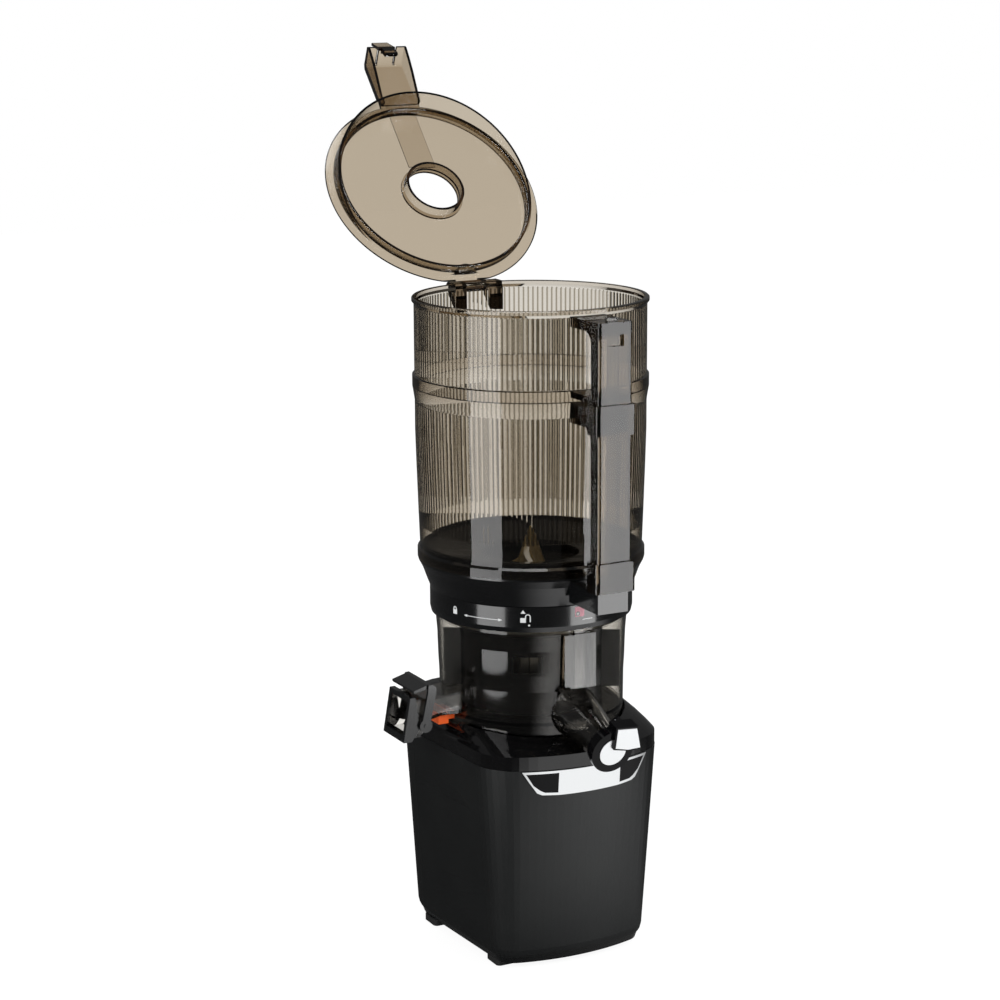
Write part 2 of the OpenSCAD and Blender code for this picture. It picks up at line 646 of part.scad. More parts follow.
module wiper_blades() {
  color([0.3, 0.31, 0.33]) for (a = [blade_a, blade_a + 180]) rotate([0, 0, a])
    translate([sieve_r + 2.6, -1.5 + fit, bowl_floor + 12 + fit]) cube([bowl_r0 - 2 * wall_t - sieve_r, 3 - 2 * fit, 54 - 2 * fit]);
}
module auger() {
  color([0.24, 0.23, 0.22]) difference() {
    union() {
      rotate_extrude($fn = 96) polygon([[0, bowl_floor + 6], [sieve_r - 2, bowl_floor + 6], [sieve_r - 3, bowl_floor + 11],
        [34, bowl_floor + 20], [29, 270], [25, 300], [22, 330], [16, 352], [12.5, 362], [8, 376], [3.5, 388], [0, 394]]);
      for (k = [0, 1]) intersection() {
        translate([0, 0, bowl_floor + 10]) linear_extrude(height = 138, twist = 360 * flight_turns, slices = 40, $fn = 6)
          rotate([0, 0, 180 * k]) polygon([[5, -2.6], [auger_r, -1.4], [auger_r, 1.4], [5, 2.6]]);
        rotate_extrude($fn = 48) polygon([[0, bowl_floor + 8], [auger_r, bowl_floor + 8], [auger_r, 304], [40, 316],
          [38, 352], [24, 366], [0, 384]]);
      }
    }
    translate([0, 0, bowl_floor]) cylinder(r = hex_r + 0.15, h = hex_z1 + 1 - bowl_floor, $fn = 6);
  }
}

// Pulp mouth frame: a square black nozzle clipped over the end of the duct.
module mouth_side(g) {
  polygon([[-duct_x + 4, duct_z1 + 1 - g], [-duct_x - 1, duct_z1 + 1 - g], [-mouth_x - 4, 211 + g],
    [-mouth_x + 4, 211 + g], [-duct_x + 8, 222 + g]]);
}
module pulp_mouth_frame() {
  color([0.08, 0.08, 0.085]) difference() {
    translate([0, duct_hw + 2, 0]) rotate([90, 0, 0]) linear_extrude(height = 2 * duct_hw + 4) mouth_side(0);
    duct_solid(-fit, duct_hw + fit);
    translate([-160, -duct_hw + wall_t, 217]) cube([60, 2 * (duct_hw - wall_t), 30.5]);
  }
}
module pulp_lever() {
  color([0.09, 0.09, 0.095]) {
    for (s = [-1, 1]) translate([0, s * (duct_hw + 3.9) + 1.4, 0]) rotate([90, 0, 0]) difference() {
      linear_extrude(height = 2.8) {
        translate([-pivot_x, pivot_z]) circle(r = 6.2, $fn = 64);
        polygon([[-pivot_x - 3.5, pivot_z + 4], [-pivot_x + 4.5, pivot_z + 3], [-110.5, 255.2], [-110.5, 260],
          [-114, 262.8], [-118, 262.6], [-119, 254]]);
      }
      translate([-pivot_x, pivot_z, -over]) cylinder(r = 2.2, h = 10, $fn = 32);
    }
    translate([0, duct_hw + 3, 0]) rotate([90, 0, 0]) linear_extrude(height = 2 * duct_hw + 6)
      polygon([[-110.5, 255.2], [-110.5, 260], [-114, 262.8], [-118, 262.6], [-132, 258.6], [-131.6, 256.4],
        [-119, 259], [-114, 257.5]]);
  }
}
module pulp_lever_pins() {
  color([0.25, 0.25, 0.26]) for (s = [-1, 1]) translate([-pivot_x, s * duct_hw, pivot_z]) rotate([s * 90, 0, 0]) {
    translate([0, 0, -0.6 - fit]) cylinder(r = 1.65, h = 2.4, $fn = 24);
    translate([0, 0, -6]) cylinder(r = 2.2, h = 5.4, $fn = 32);
  }
}
module pulp_stopper() {
  color([1, 0.4, 0.08]) {
    translate([-bowl_r0 - stop_out, -14, duct_z0 - 12.2]) cube([10, 28, 10]);
    translate([-bowl_r0 - stop_out + 10 - eps, -12, duct_z0 - 9]) cube([7, 24, 5.5]);
  }
}
// Face of the raised tab, seen from in front of the mouth, g inwards.
module tab_plan(g) {
  polygon([[g, 5.8 + g], [g - 0.4, tab_w + 5 - g], [tab_w - 1 - g, tab_w + 3.4 - g],
    [tab_w + 5.4 - g, 3 + g], [13.2, 2.6 + g]]);
}
tab_w = 20;
tab_h = 9.5;
plate_in = 1.6;
lip_t = 1.5;
module cap_hinge_frame(d) {
  at_mouth(d) rotate([0, 0, 45]) children();
}
module juice_cap() {
  color([0.08, 0.08, 0.085]) difference() {
    union() {
      difference() {
        union() {
          at_mouth(0) cylinder(r = cap_r, h = 6);
          at_mouth(-6) cylinder(r = cap_r - lip_t, h = 6 + over);
        }
        at_mouth(4.5) cylinder(r = disc_r + fit, h = 10);
      }
      at_mouth(-4) linear_extrude(height = tab_h + 4) tab_plan(-plate_in);
      for (s = [-1, 1]) cap_hinge_frame(-13.5) translate([cap_pin_x - 3, s * 7.4 - 2, 0]) cube([8, 4, 12.5]);
    }
    at_mouth(-9) cylinder(r = spout_r + lip_t, h = 9 + eps);
    cap_hinge_frame(-16) translate([0, -5.3, 0]) cube([50, 10.6, 10.8]);
    at_mouth(tab_h - plate_in) linear_extrude(height = 10) tab_plan(-fit);
    cap_hinge_frame(-10.5) translate([cap_pin_x, 0, 0]) rotate([90, 0, 0])
      cylinder(r = 1.2, h = 40, center = true, $fn = 24);
  }
}
module juice_cap_trim() {
  color([0.88, 0.89, 0.9]) {
    at_mouth(4.5) difference() {
      cylinder(r = disc_r, h = 2.3);
      translate([0, 0, -over]) linear_extrude(height = 10) tab_plan(-plate_in - fit);
    }
    at_mouth(tab_h - plate_in) linear_extrude(height = plate_in + 0.7) tab_plan(0);
  }
}
module juice_cap_seal() {
  color([0.6, 0.6, 0.6]) at_mouth(-2.6) cylinder(r1 = spout_r - wall_t - 2.9, r2 = spout_r - wall_t - 0.7, h = 2.6);
}
module juice_cap_pin() {
  color([0.75, 0.75, 0.77]) at_mouth(-15 + 4.5) rotate([0, 0, 45]) translate([cap_pin_x, 0, 0]) rotate([90, 0, 0])
    cylinder(r = 1.2, h = 18.6, center = true, $fn = 24);
}

arm_z0 = 345;
arm_z1 = 364;
arm_root = 3.8;
foot_z0 = 364.4;
foot_z1 = 391;
head_z0 = 500;
rod_w = 10;
rod_d = 4;
rod_y = 147;
stroke = 3;
col_in = col_y - col_d;

module lock_collar() {
  color([0.1, 0.1, 0.1]) difference() {
    rotate_extrude($fn = 180) polygon([[collar_r - 3.2, collar_z0 - 4.5], [collar_r - 1, collar_z0 - 4.5], [collar_r, collar_z0],
      [collar_r, collar_z1 - 1], [collar_r - 1, collar_z1], [throat_r + 2, collar_z1], [throat_r + 2, collar_z1 - 4],
      [collar_r - 4.6, collar_z1 - 4], [collar_r - 4.6, collar_z0 - 2], [collar_r - 4.2, collar_z0 - 4.5]]);
    translate([-5.3, -post_y - 4.3, 300]) cube([10.6, 4.2, 60]);
  }
}
module hopper_base() {
  color([0.09, 0.09, 0.09]) difference() {
    union() {
      rotate_extrude($fn = 180) polygon([[throat_r + 2.6, collar_z1], [collar_r, collar_z1], [collar_r + 3.8, 350],
        [hbase_r1 - 3.6, 358], [hbase_r1, 365], [hbase_r1, hbase_z1], [ldrum_r0 - wall_t - 0.4, hbase_z1],
        [ldrum_r0 - wall_t - 0.4, dish_z], [ldrum_r0 - wall_t - 2.6, dish_z], [throat_r + 2.6, 374]]);
      // Arm of the push rods, run in under the rim of the base
      translate([-15, -rod_y - 5, arm_z0]) cube([30, rod_y + 5 - hbase_r1 + arm_root, arm_z1 - arm_z0]);
    }
    rotate_extrude($fn = 144) polygon([[0, 300], [throat_r, 300], [throat_r, 370.4], [ldrum_r0 - wall_t - 2.6, dish_z - 2.4],
      [ldrum_r0 - wall_t - 2.6, 420], [0, 420]]);
    rotate_extrude($fn = 144) polygon([[throat_r + 2.6, collar_z1 - over], [collar_r - 4, collar_z1 - over], [collar_r - 1, 350],
      [ldrum_r0 - wall_t - 1.9, 360], [ldrum_r0 - wall_t - 1.9, dish_z - 7], [throat_r + 2.6, 367.4]]);
    // Passage of the transfer bar and of the two rods that meet it
    translate([-bar_w / 2 - fit, -rod_y - 3.2, bar_z0 - stroke - 0.4]) cube([bar_w + 2 * fit, 64, bar_h + stroke + 0.8]);
    translate([-rod_w / 2 - 0.2, -rod_y - rod_d / 2 - 0.2, bar_z0]) cube([rod_w + 0.4, rod_d + 0.4, 40]);
    translate([-rod_w / 2 - gap, -post_y - rod_d - gap, collar_z1 - over]) cube([rod_w + 2 * gap, 3 + 2 * gap, bar_z0 - collar_z1]);
  }
}
bar_w = 12;
dish_z = 381;
bar_z0 = 352;
bar_h = 5;
module transfer_bar() {
  color([0.8, 0.8, 0.78]) {
    translate([-bar_w / 2, -rod_y - 3, bar_z0]) cube([bar_w, rod_y + 3 - post_y - 0.9, bar_h]);
  }
}
module bowl_push_rod() {
  color([0.8, 0.8, 0.78]) translate([-5, -post_y - 4, 268]) cube([10, 3, bar_z0 - 268 - 0.1]);
}
module lower_push_rod() {
  color([0.8, 0.8, 0.78]) translate([-rod_w / 2, -rod_y - rod_d / 2, bar_z0 + bar_h + 0.1])
    cube([rod_w, rod_d, tier_z + 3 - bar_z0 - bar_h]);
}
module upper_push_rod() {
  color([0.8, 0.8, 0.78]) translate([-rod_w / 2, -rod_y - rod_d / 2, tier_z + 3.3]) cube([rod_w, rod_d, col_top + 3 - tier_z - 3.3]);
}
col_top = rim_z - 5;

// Column section with rounded front corners, extruded between two heights.
module column(w, y0, y1, z0, z1, r) {
  translate([0, 0, z0]) linear_extrude(height = z1 - z0) {
    translate([-w, -y1 + r]) square([2 * w, y1 - r - y0]);
    translate([-w + r, -y1]) square([2 * w - 2 * r, r + eps]);
    for (s = [-1, 1]) translate([s * (w - r), -y1 + r]) circle(r = r, $fn = 48);
  }
}
// Arm from drum to column with a rounded inner corner below.
module grip_arm(y0, z0, z1, r) {
  rotate([90, 0, 90]) translate([0, 0, -col_hw]) linear_extrude(height = 2 * col_hw) difference() {
    translate([-col_in - over, z0 - r]) square([col_in + over - y0, z1 - z0 + r]);
    translate([-col_in + r, z0 - r]) circle(r = r, $fn = 64);
    translate([-col_in + r, z0 - 2 * r]) square([col_in, 2 * r]);
  }
}
function flute(i, n, r) = let (a = 360 / n)
  [for (p = [[0, -0.5], [0, -0.1], [0.7, 0.1], [0.7, 0.4]]) (r - p[0]) * [cos(a * (i + p[1])), sin(a * (i + p[1]))]];
module fluted(r) {
  polygon([for (i = [0 : 2 * flute_n - 1]) each flute(i, 2 * flute_n, r)]);
}

module lower_drum() {
  color([0.62, 0.55, 0.45, 0.5]) difference() {
    union() {
      rotate_extrude($fn = 180) polygon([[0, hbase_z1 + fit], [ldrum_r0 + 2.4, hbase_z1 + fit], [ldrum_r0 + 2.4, 375],
        [ldrum_r0 + 0.2, 377], [ldrum_r0 + 0.1, 380], [ldrum_r0 + drum_flare * drum_shares[0], 411],
        [ldrum_r0 + drum_flare * drum_shares[1], 455], [ldrum_r1, 485], [ldrum_r1, 512],
        [rim_r - 1.7, 515], [rim_r, tier_z - 0.3], [0, tier_z - 0.3]]);
      grip_arm(ldrum_r1 - grip_root, head_z0 + 8, tier_z - 0.3, 12);
      column(col_hw, col_in, col_y, foot_z1 - over, tier_z - 0.3, 3);
      column(col_hw + 3, col_in - 1, col_y + 2.6, head_z0 + 3.5, tier_z + 4, 4);
      column(col_hw + 3, col_in - 1, col_y + 2.6, foot_z0, foot_z1, 4);
    }
    translate([0, 0, 300]) cylinder(r = ldrum_r0 - wall_t + 0.4, h = 98);
    translate([0, 0, 397]) linear_extrude(height = 115, scale = (ldrum_r1 - wall_t) / (ldrum_r0 - wall_t)) fluted(ldrum_r0 - wall_t);
    translate([0, 0, 511]) cylinder(r = ldrum_r1 - wall_t + 0.4, h = 40);
    translate([-rod_w / 2 - 0.2, -rod_y - rod_d / 2 - 0.2, 300]) cube([rod_w + 0.4, rod_d + 0.4, 300]);
    column(col_hw + 0.2, col_in - 0.2, col_y + 0.2, tier_z + 0.3, tier_z + 20, 3);
  }
}
module upper_drum() {
  color([0.62, 0.55, 0.45, 0.5]) difference() {
    union() {
      rotate_extrude($fn = 180) polygon([[0, tier_z], [rim_r, tier_z], [rim_r, tier_z + 9.7], [udrum_r, tier_z + 10.5],
        [udrum_r, 600], [rim_r, 602.5], [rim_r, rim_z - 1], [rim_r - 1, rim_z], [0, rim_z]]);
      grip_arm(ldrum_r1 - grip_root, 592, col_top, 12);
      column(col_hw, col_in, col_y, tier_z + 0.6, col_top, 3);
      translate([-col_hw, -col_in - over, tier_z + 4.4]) cube([2 * col_hw, col_in - udrum_r + 7.5, 5.6]);
      hinge_lugs();
    }
    translate([0, 0, tier_z - over]) cylinder(r = udrum_r - wall_t - 1, h = 12);
    translate([0, 0, tier_z + 10.5]) linear_extrude(height = 63.8, scale = 0.9995) fluted(udrum_r - wall_t);
    translate([0, 0, 599]) cylinder(r = udrum_r - wall_t + 0.3, h = 20);
    translate([-rod_w / 2 - 0.2, -rod_y - rod_d / 2 - 0.2, 500]) cube([rod_w + 0.4, rod_d + 0.4, 300]);
    translate([-30, hinge_y, hinge_z]) rotate([0, 90, 0]) cylinder(r = pin_r, h = 60, $fn = 32);
    // Catch window of the latch
    translate([-8, -col_y - over, 580.5]) cube([16, over + 3.4, 10]);
  }
}
lug_r = 5.2;
pin_r = 1.6;
module hinge_lugs() {
  for (s = [-1, 1]) translate([s * 18.6 - 6.4, 0, 0]) rotate([90, 0, 90]) linear_extrude(height = 12.8) {
    translate([hinge_y, hinge_z]) circle(r = lug_r, $fn = 64);
    polygon([[rim_r - 7.5, hinge_z + 4.9], [hinge_y, hinge_z + lug_r], [hinge_y + lug_r, hinge_z], [hinge_y + 2, hinge_z - lug_r - 3],
      [rim_r - 3.5, hinge_z - 22], [rim_r - 7.5, hinge_z - 22]]);
  }
}
module lid_hinge_pin() {
  color([0.7, 0.7, 0.72]) translate([-25, hinge_y, hinge_z]) rotate([0, 90, 0]) cylinder(r = pin_r, h = 50, $fn = 32);
}

module lid_pose() {
  translate([0, hinge_y, hinge_z]) rotate([-lid_open, 0, 0]) translate([0, -hinge_y, -hinge_z]) children();
}
lid_z = rim_z + 0.4;
lid_t = 2.8;
arm_in = 18.2;
arm_out = 21;
module arm_wall(g) {
  polygon([[-rim_r + 7.5, lid_z + lid_t - g], [-156, lid_z + lid_t - g], [-160, lid_z - g], [-167.4, 589], [-164.6, 588.4],
    [-153, 590], [-138, 593], [-rim_r - loose, 601], [-rim_r - loose, lid_z], [-rim_r + 7.5, lid_z]]);
}
module lid() {
  color([0.66, 0.6, 0.52, 0.6]) lid_pose() difference() {
    union() {
      translate([0, 0, lid_z]) rotate_extrude($fn = 180) polygon([[0, 0], [rim_r, 0], [rim_r, lid_t - 1],
        [rim_r - 1, lid_t], [0, lid_t]]);
      difference() {
        translate([0, 0, lid_z - skirt_h]) cylinder(r = skirt_r, h = skirt_h + 0.5);
        translate([-wide / 2, -skirt_r, lid_z - skirt_h]) rotate([skirt_slant, 0, 0])
          translate([0, -wide / 2, -wide / 2]) cube([wide, wide, wide / 2]);
      }
      translate([0, 0, lid_z - collar_h]) cylinder(r = feed_r + wall_t, h = collar_h);
      translate([0, 0, lid_z]) cylinder(r = feed_r + 4.4, h = lid_t + 2.2);
      // Latch arm: two side walls, a web between them and the bent front
      for (s = [-1, 1]) translate([s * (arm_in + arm_out) / 2 - (arm_out - arm_in) / 2, 0, 0])
        rotate([90, 0, 90]) linear_extrude(height = arm_out - arm_in) arm_wall(0);
      translate([-arm_in - eps, 0, 0]) rotate([90, 0, 90]) linear_extrude(height = 2 * arm_in + 2 * eps)
        polygon([[-rim_r + 3.5, lid_z + lid_t], [-156, lid_z + lid_t], [-160, lid_z], [-167.4, 589], [-164.9, 588],
          [-157.6, 603.8], [-155, lid_z - 1.5], [-rim_r - loose, lid_z - 1.5], [-rim_r - loose, lid_z + gap],
          [-rim_r + 3.5, lid_z + gap]]);
      // Strip between the feed hole and the arm
      translate([-14, -110, lid_z + lid_t - eps]) cube([28, 78, 1]);
      // Hinge knuckle
      rotate([90, 0, 90]) translate([0, 0, -11.6]) linear_extrude(height = 23.2) {
        translate([hinge_y, hinge_z]) circle(r = lug_r, $fn = 64);
        polygon([[rim_r - 7.5, lid_z + lid_t], [hinge_y, lid_z + lid_t - 0.6], [hinge_y + 3.8, hinge_z + 3.5], [hinge_y - 3, hinge_z + 3],
          [rim_r - 1.5, lid_z], [rim_r - 7.5, lid_z]]);
      }
    }
    // Inside of the skirt, except the collar of the feed hole
    translate([0, 0, lid_z - skirt_h - over]) difference() {
      cylinder(r = skirt_r - wall_t + 0.4, h = skirt_h + over);
      translate([0, 0, skirt_h - collar_h + over]) cylinder(r = feed_r + wall_t, h = 2 * collar_h);
    }
    cylinder(r = feed_r, h = 2 * wide);
    translate([-25, hinge_y, hinge_z]) rotate([0, 90, 0]) cylinder(r = pin_r + fit, h = 50, $fn = 32);
    // Notch over the lugs, and the two slits beside the tongue
    for (s = [-1, 1]) translate([s * 18.6 - 7, rim_r - 3, lid_z - over]) cube([14, 20, lid_t + 2 * over]);
    for (s = [-1, 1]) translate([s * 9.4 - 0.9, -175, 580]) cube([1.8, 18, 25.5]);
  }
  // Tongue with its hook and the flared finger tab
  color([0.66, 0.6, 0.52, 0.6]) lid_pose() {
    translate([-8.5, 0, 0]) rotate([90, 0, 90]) linear_extrude(height = 17)
      polygon([[-166.2, 590.2], [-167.2, 589.4], [-181, 599], [-179.6, 601.2], [-164.5, 592]]);
    translate([-6.5, 0, 0]) rotate([90, 0, 90]) linear_extrude(height = 13)
      polygon([[-166.9, 589.6], [-165, 588], [-155.4, 584], [-153.2, 584.4], [-153.6, 588], [-159.5, 590.5], [-162.5, 594]]);
  }
}
skirt_r = rim_r - 8;
collar_h = 9;

base_housing();
top_deck();
badge_plate();
badge_end_inlays();
bottom_cover();
foot_front_left();
foot_front_right();
foot_rear_left();
foot_rear_right();
foot_screws();
cord_gland();
switch_bezel();
rocker_switch();
control_board();
run_capacitor();
interlock_sensor();
motor_stator();
motor_windings();
motor_frame();
motor_rotor();
cooling_fan();
gearbox_case();
gearbox_cover();
reduction_gear();
output_gear();
drive_coupling();
juice_bowl();
bowl_seal();
strainer();
wiper_holder();
wiper_blades();
auger();
pulp_mouth_frame();
pulp_lever();
pulp_lever_pins();
pulp_stopper();
juice_cap();
juice_cap_trim();
juice_cap_seal();
juice_cap_pin();
lock_collar();
hopper_base();
transfer_bar();
bowl_push_rod();
lower_push_rod();
upper_push_rod();
lower_drum();
upper_drum();
lid();
lid_hinge_pin();
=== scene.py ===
import json
import math

import bmesh
import bpy
from mathutils import Euler, Matrix, Vector


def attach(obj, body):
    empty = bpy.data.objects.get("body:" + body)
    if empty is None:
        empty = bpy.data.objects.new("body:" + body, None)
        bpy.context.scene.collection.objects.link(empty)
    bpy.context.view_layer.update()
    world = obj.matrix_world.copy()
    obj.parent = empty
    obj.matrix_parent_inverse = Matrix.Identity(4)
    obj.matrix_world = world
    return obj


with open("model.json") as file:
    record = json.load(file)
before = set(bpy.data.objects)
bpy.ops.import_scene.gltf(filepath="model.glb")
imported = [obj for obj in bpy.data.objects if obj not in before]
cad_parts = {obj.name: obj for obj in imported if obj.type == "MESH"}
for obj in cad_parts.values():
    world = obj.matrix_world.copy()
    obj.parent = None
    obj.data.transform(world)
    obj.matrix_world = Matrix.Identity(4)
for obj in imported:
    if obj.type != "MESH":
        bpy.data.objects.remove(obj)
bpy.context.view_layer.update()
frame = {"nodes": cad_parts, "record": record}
nodes = frame["nodes"]
print("frame loaded:", len(nodes), "pieces")

mm = 0.001


def hexColour(code):
    # sRGB hex to the linear values Blender works in
    parts = [int(code[i:i + 2], 16) / 255 for i in (1, 3, 5)]
    return [p / 12.92 if p <= 0.04045 else ((p + 0.055) / 1.055) ** 2.4 for p in parts] + [1]


def addNode(tree, kind, settings=None, links=None):
    # one node; a socket goes by its name, or by its number where names repeat, and a link gives
    # the node and the output that feed the socket
    node = tree.nodes.new(kind)
    for name, value in (settings or {}).items():
        if isinstance(name, int) or name in node.inputs:
            node.inputs[name].default_value = value
        else:
            setattr(node, name, value)
    for name, (source, output) in (links or {}).items():
        tree.links.new(source.outputs[output], node.inputs[name])
    return node


# how finely each kind of noise is broken up, and where the two colours of a mottle begin and end
noiseDetail = {"mottle": 4.0, "wear": 3.0, "bump": 2.0}
mottleBand = (0.3, 0.7)


def newMaterial(name, shader, bump=None, mottle=None, wear=None, body=None):
    # a Principled surface with optional grain (bump), colour mottle, roughness wear and a tint in its body
    material = bpy.data.materials.new(name)
    material.use_nodes = True
    tree = material.node_tree
    tree.nodes.clear()
    output = addNode(tree, "ShaderNodeOutputMaterial")
    surface = addNode(tree, "ShaderNodeBsdfPrincipled", shader)
    tree.links.new(surface.outputs["BSDF"], output.inputs["Surface"])
    if body:
        # light that travels further through the wall comes out darker, so edges and flutes show
        depth = addNode(tree, "ShaderNodeVolumeAbsorption",
                        {"Color": hexColour(body["tint"]), "Density": body["perMetre"]})
        tree.links.new(depth.outputs["Volume"], output.inputs["Volume"])
    place = addNode(tree, "ShaderNodeTexCoord")
    if mottle:
        noise = addNode(tree, "ShaderNodeTexNoise",
                        {"Scale": 1 / (mottle["sizeMm"] * mm), "Detail": noiseDetail["mottle"]},
                        {"Vector": (place, "Object")})
        ramp = addNode(tree, "ShaderNodeValToRGB", None, {"Fac": (noise, "Fac")})
        tones = (mottle["low"], mottle["high"])
        for stop, position, colour in zip(ramp.color_ramp.elements, mottleBand, tones):
            stop.position = position
            stop.color = hexColour(colour)
        tree.links.new(ramp.outputs["Color"], surface.inputs["Base Color"])
    if wear:
        smudge = addNode(tree, "ShaderNodeTexNoise",
                         {"Scale": 1 / (wear["sizeMm"] * mm), "Detail": noiseDetail["wear"]},
                         {"Vector": (place, "Object")})
        spread = addNode(tree, "ShaderNodeMapRange", {"To Min": wear["low"], "To Max": wear["high"]},
                         {"Value": (smudge, "Fac")})
        tree.links.new(spread.outputs["Result"], surface.inputs["Roughness"])
    if bump:
        where = (place, "Object")
        if bump.get("lines"):
            # turned or brushed marks run round or along the piece
            stretch = addNode(tree, "ShaderNodeMapping", {"Scale": bump["lines"]}, {"Vector": where})
            where = (stretch, "Vector")
        grain = addNode(tree, "ShaderNodeTexNoise",
                        {"Scale": 1 / (bump["sizeMm"] * mm), "Detail": noiseDetail["bump"]},
                        {"Vector": where})
        relief = addNode(tree, "ShaderNodeBump",
                         {"Strength": bump["strength"], "Distance": bump["deepMm"] * mm},
                         {"Height": (grain, "Fac")})
        tree.links.new(relief.outputs["Normal"], surface.inputs["Normal"])
    return material


# ABS moulded against a spark-eroded tool: dull black with a soft sheen, grain about 0.9 mm
shellAbs = newMaterial("MouldedAbsEroded",
    {"Base Color": hexColour("#141617"), "Roughness": 0.42, "IOR": 1.53, "Specular IOR Level": 0.42},
    bump={"sizeMm": 0.9, "strength": 0.25, "deepMm": 0.05},
    mottle={"sizeMm": 60, "low": "#121415", "high": "#171919"},
    wear={"sizeMm": 35, "low": 0.37, "high": 0.46})
# ABS moulded against a polished tool: piano black, mirror clear, faint polish haze
pianoAbs = newMaterial("MouldedAbsPolished",
    {"Base Color": hexColour("#070708"), "Roughness": 0.07, "IOR": 1.54,
     "Coat Weight": 0.3, "Coat Roughness": 0.04},
    mottle={"sizeMm": 50, "low": "#060607", "high": "#09090A"},
    wear={"sizeMm": 25, "low": 0.05, "high": 0.11})
# The polished tool finish again, as a shaded copy for small parts that face the lamps: painted shade, deep
# black with its reflection turned down, with the edges alone catching light
shadedPianoCopy = newMaterial("MouldedAbsPolishedShadedCopy",
    {"Base Color": hexColour("#060607"), "Roughness": 0.1, "IOR": 1.5, "Specular IOR Level": 0.16},
    mottle={"sizeMm": 20, "low": "#050506", "high": "#08080A"},
    wear={"sizeMm": 10, "low": 0.07, "high": 0.14})
# Half-gloss moulded ABS of the collar, hopper base and outlet fittings: near black, soft-edged reflections
satinAbs = newMaterial("MouldedAbsSatin",
    {"Base Color": hexColour("#0C0D0E"), "Roughness": 0.16, "IOR": 1.53,
     "Coat Weight": 0.5, "Coat Roughness": 0.08},
    bump={"sizeMm": 1.2, "strength": 0.05, "deepMm": 0.05},
    mottle={"sizeMm": 30, "low": "#0B0C0D", "high": "#0F1011"},
    wear={"sizeMm": 18, "low": 0.12, "high": 0.2})
# Chrome-plated ABS: bright mirror with a slight orange-peel wave
chromePlate = newMaterial("ChromePlatedAbs",
    {"Base Color": hexColour("#F0F2F3"), "Metallic": 1.0, "Roughness": 0.12},
    bump={"sizeMm": 6, "strength": 0.05, "deepMm": 0.05},
    wear={"sizeMm": 12, "low": 0.09, "high": 0.16})
# Satin nickel plate of the cap's disc and tab: brighter and softer than the badge
satinPlate = newMaterial("SatinPlatedAbs",
    {"Base Color": hexColour("#F6F8F9"), "Metallic": 1.0, "Roughness": 0.3},
    bump={"sizeMm": 0.5, "strength": 0.05, "deepMm": 0.02},
    wear={"sizeMm": 8, "low": 0.26, "high": 0.34})
# Smoked copolyester, injection moulded: clear grey-brown walls of 2.6 mm, dark edges, slight flow waves
smokeDrum = newMaterial("SmokedCopolyesterDrum",
    {"Base Color": hexColour("#F1EFEA"), "Roughness": 0.03, "IOR": 1.54, "Transmission Weight": 1.0},
    bump={"sizeMm": 40, "strength": 0.05, "deepMm": 0.4},
    wear={"sizeMm": 30, "low": 0.02, "high": 0.05},
    body={"tint": "#A08448", "perMetre": 120})
# The bowl's own shot is greyer and a little clearer
smokeBowl = newMaterial("SmokedCopolyesterBowl",
    {"Base Color": hexColour("#F1F0EC"), "Roughness": 0.04, "IOR": 1.54, "Transmission Weight": 1.0},
    bump={"sizeMm": 30, "strength": 0.05, "deepMm": 0.3},
    wear={"sizeMm": 20, "low": 0.03, "high": 0.07},
    body={"tint": "#A89878", "perMetre": 80})
# The lid is moulded thicker and reads as a warm tea brown against the light
smokeLid = newMaterial("SmokedCopolyesterLid",
    {"Base Color": hexColour("#EDEAE3"), "Roughness": 0.03, "IOR": 1.54, "Transmission Weight": 1.0},
    bump={"sizeMm": 45, "strength": 0.05, "deepMm": 0.4},
    wear={"sizeMm": 30, "low": 0.02, "high": 0.05},
    body={"tint": "#A58300", "perMetre": 340})
# The interlock rods in the column are the clearest shot
smokeRod = newMaterial("SmokedCopolyesterRod",
    {"Base Color": hexColour("#F2F2F0"), "Roughness": 0.05, "IOR": 1.54, "Transmission Weight": 1.0},
    bump={"sizeMm": 12, "strength": 0.05, "deepMm": 0.1},
    wear={"sizeMm": 8, "low": 0.04, "high": 0.08},
    body={"tint": "#B0A080", "perMetre": 60})


